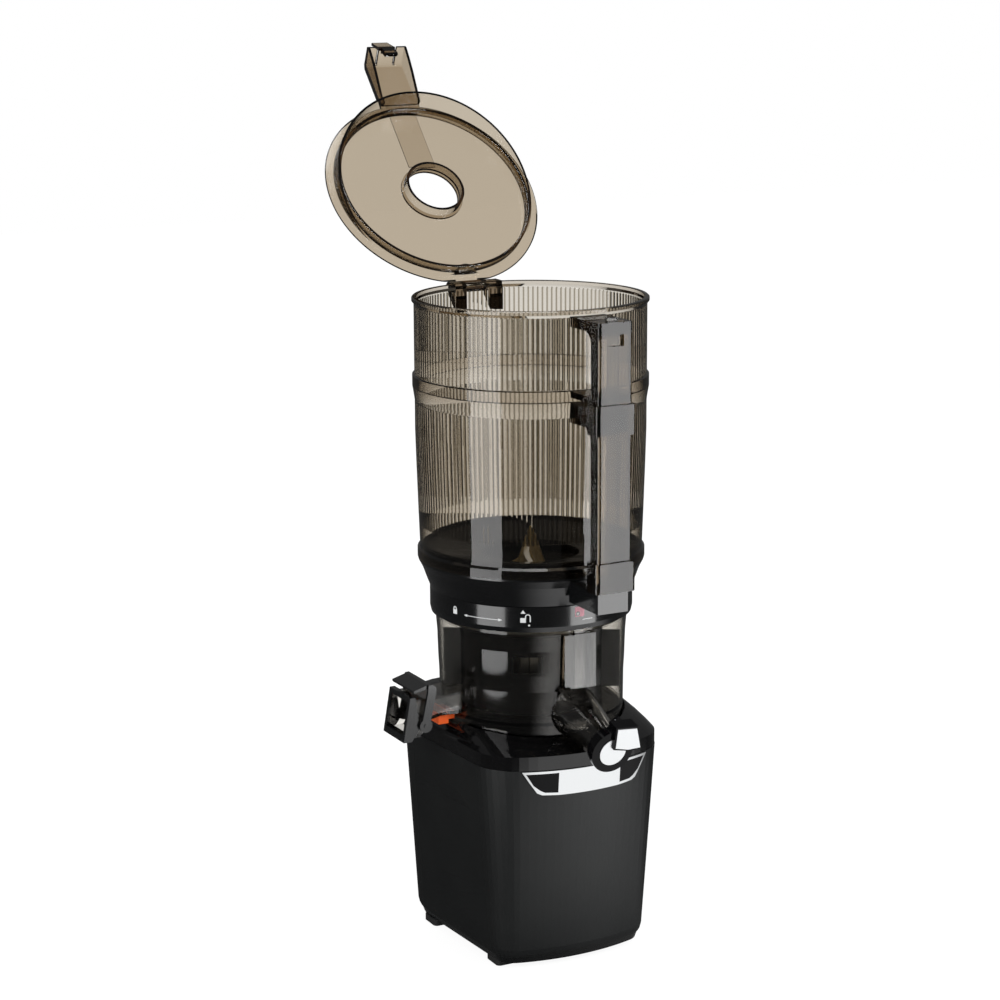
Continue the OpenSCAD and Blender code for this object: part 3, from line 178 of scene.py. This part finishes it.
def paintShadeOnClear(material, look):
    # painted shade: clear walls are painted darker where they turn away, standing in for the dark room seen
    # through them, and at each flute's ridge a fine dark line of painted shade is drawn inside
    tree = material.node_tree
    surface = next(n for n in tree.nodes if n.type == "BSDF_PRINCIPLED")
    place = next(n for n in tree.nodes if n.type == "TEX_COORD")
    turn = addNode(tree, "ShaderNodeLayerWeight", {"Blend": 0.5})
    edge = addNode(tree, "ShaderNodeMapRange",
                   {"interpolation_type": "SMOOTHSTEP", "From Min": look["edgeFrom"],
                    "From Max": look["edgeTo"]},
                   {"Value": (turn, "Facing")})
    # painted shade: the colour darkens towards the walls that turn away
    tone = addNode(tree, "ShaderNodeMix",
                   {"data_type": "RGBA", 6: hexColour(look["face"]), 7: hexColour(look["edge"])},
                   {"Factor": (edge, "Result")})
    if look.get("flutes"):
        axes = addNode(tree, "ShaderNodeSeparateXYZ", None, {"Vector": (place, "Object")})
        around = addNode(tree, "ShaderNodeMath", {"operation": "ARCTAN2"},
                         {0: (axes, "Y"), 1: (axes, "X")})
        # the count of flutes is added once more, so that the number stays above zero all the way round
        count = addNode(tree, "ShaderNodeMath",
                        {"operation": "MULTIPLY_ADD", 1: look["flutes"] / (2 * math.pi),
                         2: look["ridgeShare"] + look["flutes"]}, {0: (around, 0)})
        share = addNode(tree, "ShaderNodeMath", {"operation": "FRACT"}, {0: (count, 0)})
        paintedFluteLineMask = addNode(tree, "ShaderNodeMath", {"operation": "COMPARE", 1: 0.5, 2: look["lineShare"] / 2},
                       {0: (share, 0)})
        flat = addNode(tree, "ShaderNodeVectorMath", {"operation": "MULTIPLY", 1: (1, 1, 0)},
                       {0: (place, "Object")})
        reach = addNode(tree, "ShaderNodeVectorMath", {"operation": "LENGTH"}, {0: (flat, "Vector")})
        for test, limit, source in (("LESS_THAN", look["insideMm"], (reach, "Value")),
                                    ("GREATER_THAN", look["fromMm"], (axes, "Z")),
                                    ("LESS_THAN", look["toMm"], (axes, "Z"))):
            within = addNode(tree, "ShaderNodeMath", {"operation": test, 1: limit * mm}, {0: source})
            paintedFluteLineMask = addNode(tree, "ShaderNodeMath", {"operation": "MULTIPLY"}, {0: (paintedFluteLineMask, 0), 1: (within, 0)})
        # painted shade: a dark line is laid over the colour at each flute's ridge
        tone = addNode(tree, "ShaderNodeMix", {"data_type": "RGBA", 7: hexColour(look["line"])},
                       {"Factor": (paintedFluteLineMask, 0), 6: (tone, 2)})
    tree.links.new(tone.outputs[2], surface.inputs["Base Color"])


smokeTop = smokeDrum.copy()
smokeTop.name = "SmokedCopolyesterTopDrum"
# both drums have the same flutes; the painted shade lines are drawn on the inner face, between two heights,
# and the walls get painted shade where they turn away
fluteLook = {"face": "#F1EFEA", "edge": "#8E8676", "edgeFrom": 0.45, "edgeTo": 0.95, "flutes": 144,
             "ridgeShare": 0.25, "lineShare": 0.3, "line": "#7F7868"}
paintShadeOnClear(smokeDrum, dict(fluteLook, insideMm=102.55, fromMm=397, toMm=512))
paintShadeOnClear(smokeTop, dict(fluteLook, insideMm=104.0, fromMm=536.3, toMm=600))
# the bowl and the lid get the same painted shade where their walls turn away, without flute lines
paintShadeOnClear(smokeBowl, {"face": "#F4F3F0", "edge": "#C4BFB4", "edgeFrom": 0.8, "edgeTo": 1.0})
paintShadeOnClear(smokeLid, {"face": "#FFFEFA", "edge": "#6E6556", "edgeFrom": 0.6, "edgeTo": 0.95})
# Liquid silicone, moulded: soft orange with a dry sheen
orangeSilicone = newMaterial("SiliconeOrange",
    {"Base Color": hexColour("#FF6418"), "Roughness": 0.5, "IOR": 1.41, "Subsurface Weight": 0.1,
     "Subsurface Radius": (0.004, 0.002, 0.001), "Subsurface Scale": 0.5},
    bump={"sizeMm": 2, "strength": 0.1, "deepMm": 0.05},
    wear={"sizeMm": 6, "low": 0.44, "high": 0.56})
greySilicone = newMaterial("SiliconeGrey",
    {"Base Color": hexColour("#5C5E60"), "Roughness": 0.5, "IOR": 1.41},
    bump={"sizeMm": 2, "strength": 0.1, "deepMm": 0.05})
# Nitrile rubber feet, compression moulded: dull black with a fine tooth
footRubber = newMaterial("MouldedRubber",
    {"Base Color": hexColour("#1B1B1B"), "Roughness": 0.8, "IOR": 1.5},
    bump={"sizeMm": 0.8, "strength": 0.3, "deepMm": 0.08})
# Polyetherimide of the auger, moulded without pigment: cloudy olive amber
augerResin = newMaterial("MouldedPolyetherimide",
    {"Base Color": hexColour("#6B5B3C"), "Roughness": 0.3, "IOR": 1.65, "Subsurface Weight": 0.1,
     "Subsurface Radius": (0.003, 0.002, 0.001), "Subsurface Scale": 0.5},
    bump={"sizeMm": 3, "strength": 0.1, "deepMm": 0.08},
    mottle={"sizeMm": 14, "low": "#62532F", "high": "#756544"})
# Glass-filled nylon of the wiper holder: dull near black with faint fibre flow
holderNylon = newMaterial("MouldedGlassNylon",
    {"Base Color": hexColour("#0D0C0C"), "Roughness": 0.22, "IOR": 1.53},
    bump={"sizeMm": 2, "strength": 0.05, "deepMm": 0.04},
    mottle={"sizeMm": 12, "low": "#0B0A0A", "high": "#121010"})
# Stainless sheet of the strainer, photo-etched and polished
etchedSteel = newMaterial("EtchedStainless",
    {"Base Color": hexColour("#B4AFA6"), "Metallic": 1.0, "Roughness": 0.3},
    bump={"sizeMm": 0.6, "strength": 0.3, "deepMm": 0.05, "lines": (1, 1, 0.2)})
# Turned carbon steel of shafts, screws and core: grey with fine tool rings
turnedSteel = newMaterial("TurnedSteel",
    {"Base Color": hexColour("#A9ABAE"), "Metallic": 1.0, "Roughness": 0.34},
    bump={"sizeMm": 0.5, "strength": 0.2, "deepMm": 0.03, "lines": (0.1, 0.1, 2)})
# Die-cast aluminium of the gearbox and motor frame: pale grey, grainy skin
castAluminium = newMaterial("DieCastAluminium",
    {"Base Color": hexColour("#B9BBBD"), "Metallic": 1.0, "Roughness": 0.5},
    bump={"sizeMm": 1.2, "strength": 0.35, "deepMm": 0.1},
    wear={"sizeMm": 20, "low": 0.42, "high": 0.58})
# Enamelled copper wire, wound: warm orange-brown with wire-to-wire ridges of 0.6 mm
copperWinding = newMaterial("WoundCopper",
    {"Base Color": hexColour("#B5652E"), "Metallic": 1.0, "Roughness": 0.28},
    bump={"sizeMm": 0.6, "strength": 0.6, "deepMm": 0.3, "lines": (0.2, 0.2, 1)})
# Nylon 66 gears, moulded and uncoloured: waxy cream
gearNylon = newMaterial("MouldedNylon",
    {"Base Color": hexColour("#E4DEC9"), "Roughness": 0.42, "IOR": 1.53, "Subsurface Weight": 0.1,
     "Subsurface Radius": (0.002, 0.002, 0.001), "Subsurface Scale": 0.5},
    bump={"sizeMm": 3, "strength": 0.06, "deepMm": 0.05})
# Fibre-glass board under green lacquer
boardLacquer = newMaterial("LacqueredBoard",
    {"Base Color": hexColour("#2E6B45"), "Roughness": 0.3, "IOR": 1.5},
    bump={"sizeMm": 0.7, "strength": 0.15, "deepMm": 0.03})
# Acetal push rods, moulded: white-grey and slippery
rodAcetal = newMaterial("MouldedAcetal",
    {"Base Color": hexColour("#CFCFC8"), "Roughness": 0.38, "IOR": 1.48},
    bump={"sizeMm": 3, "strength": 0.05, "deepMm": 0.04})
print("materials made")

finishes = {
    "body_black": shellAbs, "gloss_black": pianoAbs, "base_black": satinAbs, "badge_chrome": chromePlate,
    "cap_silver": satinPlate, "foot_rubber": footRubber, "switch_black": pianoAbs,
    "board_green": boardLacquer,
    "steel": turnedSteel, "copper_winding": copperWinding, "aluminium_cast": castAluminium,
    "gear_nylon": gearNylon, "smoke_clear": smokeDrum, "silicone_grey": greySilicone,
    "silicone_orange": orangeSilicone, "strainer_steel": etchedSteel, "auger_plastic": augerResin,
    "rod_plastic": rodAcetal,
}
# pieces whose own moulding differs from the rest of their slot, and small parts given the shaded copy of the
# polished finish as painted shade
ownFinish = {"juice_bowl": smokeBowl, "lid": smokeLid, "wiper_holder": holderNylon, "upper_drum": smokeTop,
             "badge_end_inlays": shadedPianoCopy, "juice_cap": shadedPianoCopy,
             "upper_push_rod": smokeRod, "lower_push_rod": smokeRod, "bowl_push_rod": smokeRod}
for entry in frame["record"]["subparts"]:
    piece = nodes[entry["node"]]
    finish = ownFinish.get(entry["node"], finishes[entry["material_slot"]])
    for socket in piece.material_slots:
        socket.material = finish
    if not piece.material_slots:
        piece.data.materials.append(finish)
print("finishes laid on the solids")


# Pad-printed ink on the collar: flat white that sits a hair proud, slightly uneven at its edge
inkWhite = newMaterial("PadPrintedInkWhite",
    {"Base Color": hexColour("#E8EAEA"), "Roughness": 0.55, "IOR": 1.5},
    bump={"sizeMm": 0.6, "strength": 0.1, "deepMm": 0.02},
    mottle={"sizeMm": 3, "low": "#DDE0E0", "high": "#F0F2F2"})
# The same ink in a dusty rose for the open position
inkRose = newMaterial("PadPrintedInkRose",
    {"Base Color": hexColour("#C98A96"), "Roughness": 0.5, "IOR": 1.5},
    bump={"sizeMm": 0.6, "strength": 0.1, "deepMm": 0.02},
    mottle={"sizeMm": 3, "low": "#BE7F8C", "high": "#D2949F"})


def newPiece(name, mesh, finish):
    # a finished mesh goes into the scene with its finish
    bmesh.ops.recalc_face_normals(mesh, faces=mesh.faces)
    data = bpy.data.meshes.new(name)
    mesh.to_mesh(data)
    mesh.free()
    piece = bpy.data.objects.new(name, data)
    bpy.context.scene.collection.objects.link(piece)
    data.materials.append(finish)
    return piece


def wrapShapes(name, shapes, look, finish):
    # flat outlines in mm, laid round a wall of the given radius and given a little thickness
    mesh = bmesh.new()
    for outline in shapes:
        rims = []
        for out in (-look["sunkMm"], look["proudMm"]):
            rim = []
            reach = (look["radiusMm"] + out) * mm
            for along, up in outline:
                turn = math.radians(look["turn"]) + along / look["radiusMm"]
                height = (look["heightMm"] + up) * mm
                rim.append(mesh.verts.new((reach * math.cos(turn), reach * math.sin(turn), height)))
            rims.append(rim)
        mesh.faces.new(rims[1])
        mesh.faces.new(list(reversed(rims[0])))
        for i in range(len(outline)):
            j = (i + 1) % len(outline)
            mesh.faces.new((rims[0][i], rims[0][j], rims[1][j], rims[1][i]))
    piece = newPiece(name, mesh, finish)
    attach(piece, "base")
    return piece


def stroke(points, width):
    # a line of even width as short four-sided pieces, so that it can follow the wall
    parts = []
    for (ax, ay), (bx, by) in zip(points, points[1:]):
        far = math.hypot(bx - ax, by - ay)
        sx, sy = -(by - ay) / far * width / 2, (bx - ax) / far * width / 2
        parts.append([(ax - sx, ay - sy), (bx - sx, by - sy), (bx + sx, by + sy), (ax + sx, ay + sy)])
    return parts


def disc(cx, cy, radius, sides=28):
    return [(cx + radius * math.cos(2 * math.pi * i / sides), cy + radius * math.sin(2 * math.pi * i / sides))
            for i in range(sides)]


def arch(cx, cy, radius, start, stop, steps=12):
    turns = [math.radians(start + (stop - start) * i / steps) for i in range(steps + 1)]
    return [(cx + radius * math.cos(turn), cy + radius * math.sin(turn)) for turn in turns]


# Collar marks: an open padlock under a pointer, a turning arrow and a closed padlock
padlockLook = {"radiusMm": 93.5, "turn": -122.4, "heightMm": 327.6, "proudMm": 0.07, "sunkMm": 0.03,
               "bodyWide": 5.0, "bodyTall": 4.3, "line": 1.0, "legSunk": 1, "shackle": 2.1, "legIn": 0.3,
               "legTop": 3.2, "legEnd": -1.6, "closedShackle": 1.7, "closedRise": 0.6,
               "pointer": [(-2.2, 6.2), (2.2, 6.2), (0.0, 9.4)], "dotAt": (5.4, -4.6), "dotRadius": 0.9}
halfWide, halfTall = padlockLook["bodyWide"] / 2, padlockLook["bodyTall"] / 2
padlockBody = [(-halfWide, -halfTall), (halfWide, -halfTall), (halfWide, halfTall), (-halfWide, halfTall)]
legFoot = halfTall - padlockLook["legSunk"]
legAt, legTop, bow = halfWide - padlockLook["legIn"], padlockLook["legTop"], padlockLook["shackle"]
openShackle = ([(legAt, legFoot), (legAt, legTop)] + arch(legAt + bow, legTop, bow, 180, 0)
               + [(legAt + 2 * bow, padlockLook["legEnd"])])
openPadlock = [padlockBody] + stroke(openShackle, padlockLook["line"])
openPadlock += [padlockLook["pointer"], disc(*padlockLook["dotAt"], padlockLook["dotRadius"])]
wrapShapes("collar_mark_open", openPadlock, padlockLook, inkWhite)
closedLook = dict(padlockLook, turn=-165.0, heightMm=328.2)
bow = closedLook["closedShackle"]
closedTop = halfTall + closedLook["closedRise"]
closedShackle = [(-bow, legFoot)] + arch(0, closedTop, bow, 180, 0) + [(bow, legFoot)]
wrapShapes("collar_mark_closed", [padlockBody] + stroke(closedShackle, closedLook["line"]), closedLook,
           inkWhite)
arrowLook = dict(padlockLook, turn=-158.0, heightMm=327.0, long=39.0, head=3.6, headTall=2.6, line=0.55,
                 shaftIn=0.7, steps=24)
long, head, rise = arrowLook["long"], arrowLook["head"], arrowLook["headTall"] / 2
shaftFrom = head * arrowLook["shaftIn"]
shaftLong = long - 2 * shaftFrom
shaft = [(shaftFrom + shaftLong * i / arrowLook["steps"], 0) for i in range(arrowLook["steps"] + 1)]
arrow = stroke(shaft, arrowLook["line"])
arrow += [[(0, 0), (head, -rise), (head, rise)], [(long, 0), (long - head, rise), (long - head, -rise)]]
wrapShapes("collar_mark_turn", arrow, arrowLook, inkWhite)
# Rose spot with a ring, where the collar stands when the hopper may be lifted
spotLook = dict(padlockLook, turn=-90.4, heightMm=333.0, half=4.6, corner=1, cornerSteps=4, proudMm=0.2,
                sunkMm=0.0, eyeAt=(-1.8, -1.9), eyeRadius=2.2, eyeDotRadius=0.9)
cornerAt = spotLook["half"] - spotLook["corner"]
spot = []
for quarter, (sideX, sideY) in enumerate([(1, 1), (-1, 1), (-1, -1), (1, -1)]):
    spot += arch(sideX * cornerAt, sideY * cornerAt, spotLook["corner"], 90 * quarter, 90 * (quarter + 1),
                 spotLook["cornerSteps"])
wrapShapes("collar_spot", [spot], spotLook, inkRose)
wrapShapes("collar_spot_eye", [disc(*spotLook["eyeAt"], spotLook["eyeRadius"])],
           dict(spotLook, proudMm=0.26, sunkMm=-0.12), pianoAbs)
wrapShapes("collar_spot_dot", [disc(*spotLook["eyeAt"], spotLook["eyeDotRadius"])],
           dict(spotLook, proudMm=0.31, sunkMm=-0.2), inkWhite)
underLook = dict(padlockLook, turn=-88.6, heightMm=325.4, long=10.5, line=0.5, steps=8)
underLine = [(underLook["long"] * i / underLook["steps"], 0) for i in range(underLook["steps"] + 1)]
wrapShapes("collar_line", stroke(underLine, underLook["line"]), underLook, inkWhite)
print("collar marks made")

# Lid details: a seating ring inside the skirt all the way round, and the arched boss that stiffens the hinge
lidLook = {"openDegrees": 133, "hingeY": 116.5, "hingeZ": 601, "underZ": 606.4, "steps": 160,
           "ringOuter": 97.0, "ringWall": 3.0, "ringDeep": 9.0,
           "bossY": 104, "bossOuter": 12.5, "bossWall": 2.0, "bossDeep": 7.0, "bossFrom": 205, "bossTo": 335,
           "sunkInLid": 0.15, "feather": 0.7, "featherShare": 0.3}


def openLid(points):
    # closed-lid millimetres to the open lid of the rest pose, in metres
    turn = Matrix.Rotation(math.radians(-lidLook["openDegrees"]), 3, "X")
    hinge = Vector((0, lidLook["hingeY"], lidLook["hingeZ"]))
    return [(turn @ (Vector(p) - hinge) + hinge) * mm for p in points]


def sweptRing(name, centre, outer, wall, deep, start, stop, finish, body):
    # a rounded rib swept round a circle on the lid's underside; a whole turn closes on itself
    whole = abs(stop - start) >= 359.9
    feather = lidLook["feather"]
    small = lidLook["featherShare"] * feather
    top = lidLook["sunkInLid"]
    section = [(outer, top), (outer, feather - deep), (outer - small, small - deep), (outer - feather, -deep),
               (outer - wall + feather, -deep), (outer - wall + small, small - deep),
               (outer - wall, feather - deep), (outer - wall, top)]
    mesh = bmesh.new()
    rows = []
    steps = lidLook["steps"]
    count = steps if whole else steps + 1
    for i in range(count):
        turn = math.radians(start + (stop - start) * i / steps)
        acrossX, acrossY = math.cos(turn), math.sin(turn)
        points = [(centre[0] + reach * acrossX, centre[1] + reach * acrossY, lidLook["underZ"] + up)
                  for reach, up in section]
        rows.append([mesh.verts.new(p) for p in openLid(points)])
    for i in range(steps):
        here, there = rows[i], rows[(i + 1) % count]
        for j in range(len(section)):
            k = (j + 1) % len(section)
            mesh.faces.new((here[j], here[k], there[k], there[j]))
    if not whole:
        mesh.faces.new(rows[0])
        mesh.faces.new(list(reversed(rows[-1])))
    piece = newPiece(name, mesh, finish)
    for face in piece.data.polygons:
        face.use_smooth = True
    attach(piece, body)
    return piece


sweptRing("lid_seat_ring", (0, 0), lidLook["ringOuter"], lidLook["ringWall"], lidLook["ringDeep"], 0, 360,
          smokeLid, "lid_leaf")
sweptRing("lid_hinge_boss", (0, lidLook["bossY"]), lidLook["bossOuter"], lidLook["bossWall"],
          lidLook["bossDeep"], lidLook["bossFrom"], lidLook["bossTo"], smokeLid, "lid_leaf")
print("lid details made")


# Stage: a pale floor that stays white to the eye, white surround, dark room beyond the table for reflections
stageLook = {"floorSize": 12.0, "floorColour": "#F4F4F4", "floorGlow": 0.82, "floorStrength": 1.13,
             "ambient": 0.5, "roomInGloss": 0.12, "tableCentre": (0.22, -0.62, 0), "tableReach": 0.62,
             "tableFadeShare": 0.5, "farShine": 0.05}
white = (1, 1, 1, 1)
floorMesh = bpy.data.meshes.new("floor")
half = stageLook["floorSize"] / 2
floorMesh.from_pydata([(-half, -half, 0), (half, -half, 0), (half, half, 0), (-half, half, 0)], [],
                      [(0, 1, 2, 3)])
floor = bpy.data.objects.new("floor", floorMesh)
bpy.context.scene.collection.objects.link(floor)
floorMaterial = bpy.data.materials.new("PaleFloor")
floorMaterial.use_nodes = True
tree = floorMaterial.node_tree
tree.nodes.clear()
floorOut = addNode(tree, "ShaderNodeOutputMaterial")
floorPaint = addNode(tree, "ShaderNodeBsdfDiffuse", {"Color": hexColour(stageLook["floorColour"])})
path = addNode(tree, "ShaderNodeLightPath")
floorPlace = addNode(tree, "ShaderNodeTexCoord")
fromTable = addNode(tree, "ShaderNodeVectorMath", {"operation": "DISTANCE", 1: stageLook["tableCentre"]},
                    {0: (floorPlace, "Object")})
tableFade = addNode(tree, "ShaderNodeMapRange",
                    {"interpolation_type": "SMOOTHSTEP", "To Min": 1.0, "To Max": stageLook["farShine"],
                     "From Min": stageLook["tableReach"] * stageLook["tableFadeShare"],
                     "From Max": stageLook["tableReach"]}, {"Value": (fromTable, "Value")})
# what the eye and the clear walls see is white; what a gloss reflects fades past the table
mirrored = addNode(tree, "ShaderNodeMath", {"operation": "GREATER_THAN"}, {0: (path, "Glossy Depth")})
notDiffuse = addNode(tree, "ShaderNodeMath", {"operation": "SUBTRACT", 0: 1}, {1: (path, "Is Diffuse Ray")})
inGloss = addNode(tree, "ShaderNodeMath", {"operation": "MULTIPLY"}, {0: (mirrored, 0), 1: (notDiffuse, 0)})
floorShine = addNode(tree, "ShaderNodeMix", {"data_type": "FLOAT", "A": stageLook["floorStrength"]},
                     {"Factor": (inGloss, 0), "B": (tableFade, "Result")})
floorGlow = addNode(tree, "ShaderNodeEmission", {"Color": white}, {"Strength": (floorShine, "Result")})
seen = addNode(tree, "ShaderNodeMath", {"operation": "MAXIMUM"},
               {0: (path, "Is Camera Ray"), 1: (path, "Is Transmission Ray")})
seenShare = addNode(tree, "ShaderNodeMath", {"operation": "MULTIPLY", 1: stageLook["floorGlow"]},
                    {0: (seen, 0)})
glowShare = addNode(tree, "ShaderNodeMath", {"operation": "MAXIMUM"}, {0: (seenShare, 0), 1: (inGloss, 0)})
floorMix = addNode(tree, "ShaderNodeMixShader", None,
                   {0: (glowShare, 0), 1: (floorPaint, 0), 2: (floorGlow, 0)})
tree.links.new(floorMix.outputs[0], floorOut.inputs["Surface"])
floorMesh.materials.append(floorMaterial)

world = bpy.data.worlds.new("studio")
bpy.context.scene.world = world
world.use_nodes = True
tree = world.node_tree
tree.nodes.clear()
worldOut = addNode(tree, "ShaderNodeOutputWorld")
path = addNode(tree, "ShaderNodeLightPath")
mirroredSky = addNode(tree, "ShaderNodeMath", {"operation": "GREATER_THAN"}, {0: (path, "Glossy Depth")})
roomShine = addNode(tree, "ShaderNodeMix",
                    {"data_type": "FLOAT", "A": stageLook["ambient"], "B": stageLook["roomInGloss"]},
                    {"Factor": (mirroredSky, 0)})
ambient = addNode(tree, "ShaderNodeBackground", {"Color": white}, {"Strength": (roomShine, "Result")})
whiteSky = addNode(tree, "ShaderNodeBackground", {"Color": white, "Strength": 1.0})
seen = addNode(tree, "ShaderNodeMath", {"operation": "MAXIMUM"},
               {0: (path, "Is Camera Ray"), 1: (path, "Is Transmission Ray")})
straight = addNode(tree, "ShaderNodeMath", {"operation": "SUBTRACT", "use_clamp": True},
                   {0: (seen, 0), 1: (mirroredSky, 0)})
worldMix = addNode(tree, "ShaderNodeMixShader", None, {0: (straight, 0), 1: (ambient, 0), 2: (whiteSky, 0)})
tree.links.new(worldMix.outputs[0], worldOut.inputs["Surface"])

# lamps light the room; the two tall softboxes are there for the long soft reflections on the round walls
lamps = {
    "keyRight": {"place": (1.3, -2.2, 1.9), "aim": (0, 0, 0.35), "size": (1.2, 1.2), "watts": 38,
                 "boxOnly": False},
    "fillLeft": {"place": (-2.4, -0.9, 1.2), "aim": (0, 0, 0.3), "size": (1.4, 1.4), "watts": 16,
                 "boxOnly": False},
    "top": {"place": (0.0, 0.2, 2.6), "aim": (0, 0, 0.4), "size": (1.6, 1.6), "watts": 22, "boxOnly": False},
    "softboxRight": {"place": (0.4, -0.69, 0.66), "aim": (0, 0, 0.66), "size": (0.44, 1.28), "watts": 7.5,
                     "boxOnly": True},
    "softboxLeft": {"place": (-0.76, -0.25, 0.66), "aim": (0, 0, 0.66), "size": (0.46, 1.28), "watts": 6,
                    "boxOnly": True},
}
for name, lamp in lamps.items():
    light = bpy.data.lights.new(name, "AREA")
    light.shape = "RECTANGLE" if lamp["boxOnly"] else "ELLIPSE"
    light.size, light.size_y = lamp["size"]
    light.energy = lamp["watts"]
    lightObject = bpy.data.objects.new(name, light)
    bpy.context.scene.collection.objects.link(lightObject)
    lightObject.location = lamp["place"]
    away = Vector(lamp["place"]) - Vector(lamp["aim"])
    lightObject.rotation_euler = away.to_track_quat("Z", "Y").to_euler()
    lightObject.visible_camera = False
    lightObject.visible_transmission = False
    lightObject.visible_diffuse = not lamp["boxOnly"]
print("stage and lamps set")

# The photograph's view: a long lens from the front left, a little above the rim
cameraLook = {"lens": 91.62, "sensor": 36, "place": (-1.0709, -2.0140, 0.918), "pitch": 77.61, "turn": -27.29,
              "roll": -0.285, "farthest": 50}
cameraData = bpy.data.cameras.new("camera")
cameraData.lens = cameraLook["lens"]
cameraData.sensor_width = cameraLook["sensor"]
camera = bpy.data.objects.new("camera", cameraData)
bpy.context.scene.collection.objects.link(camera)
turned = Euler([math.radians(cameraLook["pitch"]), 0, math.radians(cameraLook["turn"])]).to_matrix()
camera.location = cameraLook["place"]
camera.rotation_euler = (turned @ Matrix.Rotation(math.radians(cameraLook["roll"]), 3, "Z")).to_euler()
cameraData.clip_end = cameraLook["farthest"]
bpy.context.scene.camera = camera
bpy.context.scene.view_settings.view_transform = "Standard"
